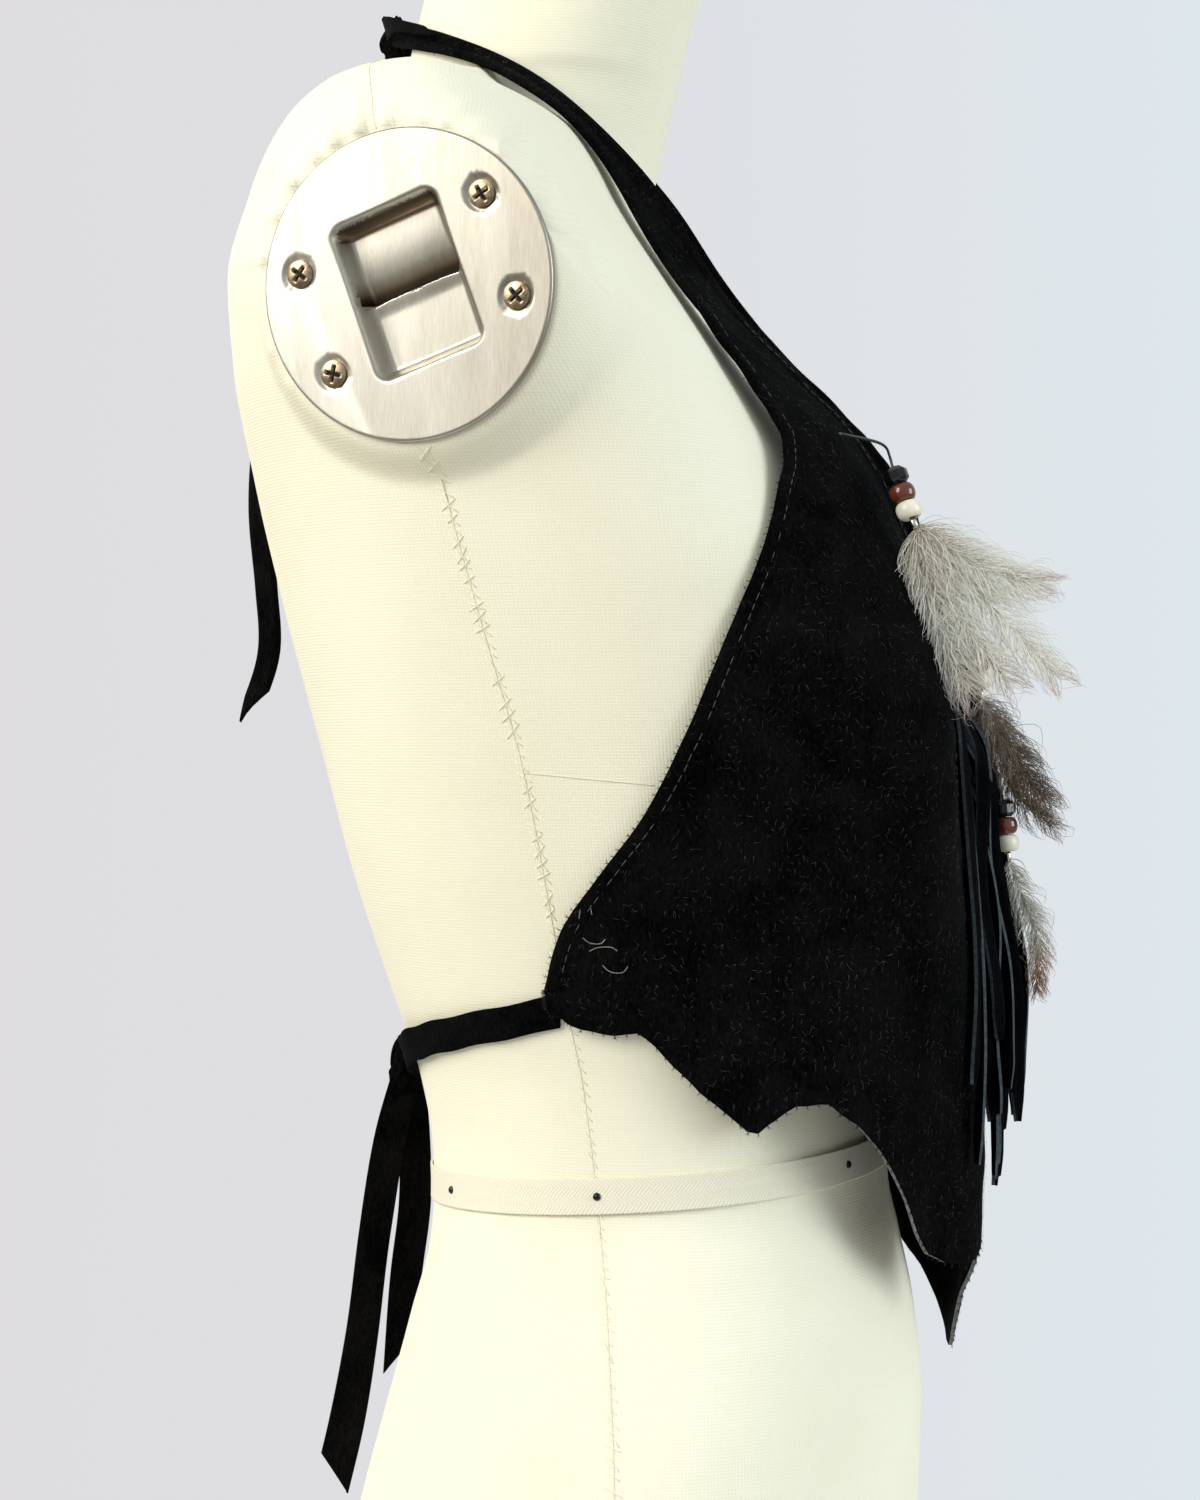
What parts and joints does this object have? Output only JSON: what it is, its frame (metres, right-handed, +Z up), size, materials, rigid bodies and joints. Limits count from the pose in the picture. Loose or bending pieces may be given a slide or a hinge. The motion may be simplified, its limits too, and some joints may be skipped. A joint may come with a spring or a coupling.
{
  "type": "fringed suede halter top on a limbless dress form",
  "caption": "Black suede halter top with a fringed centre seam, bead and feather pendants, tied at nape and waist, worn on a limbless linen dress form with steel shoulder plates.",
  "frame": {"origin": "middle of the flat underside of the base board, straight below the middle of the waist", "axes": "+Z up, wearer's front towards -Y, wearer's left towards +X"},
  "size_m": [0.3528, 0.3364, 0.7333],
  "materials": {
    "suede": "napped",
    "linen": "matt weave",
    "tape": "herringbone",
    "wood": "satin",
    "steel": "brushed",
    "screw": "satin",
    "lace": "satin",
    "bead_black": "gloss",
    "bead_brown": "gloss",
    "bead_cream": "gloss",
    "feather": "downy"
  },
  "bodies": {
    "root": {"form_body": "linen", "base_board": "wood", "neck_cap": "wood", "waist_tape": "tape", "plate_right": "steel", "plate_left": "steel", "screw_right_1": "screw", "screw_right_2": "screw", "screw_right_3": "screw", "screw_right_4": "screw", "screw_left_1": "screw", "screw_left_2": "screw", "screw_left_3": "screw", "screw_left_4": "screw", "panel_right": "suede", "panel_left": "suede", "fringe_right": "suede", "fringe_left": "suede", "back_strap_right": "suede", "back_strap_left": "suede", "back_knot": "suede", "back_tie_long": "suede", "back_tie_short": "suede", "neck_knot": "suede", "neck_tie_long": "suede", "neck_tie_short": "suede", "lace_neckline": "lace", "bead_black_neckline": "bead_black", "bead_brown_neckline": "bead_brown", "bead_cream_neckline": "bead_cream", "feather_neckline": "feather", "lace_middle": "lace", "bead_black_middle": "bead_black", "bead_brown_middle": "bead_brown", "bead_cream_middle": "bead_cream", "feather_middle": "feather", "lace_low": "lace", "bead_black_low": "bead_black", "bead_brown_low": "bead_brown", "bead_cream_low": "bead_cream", "feather_low": "feather"}
  },
  "joints": []
}
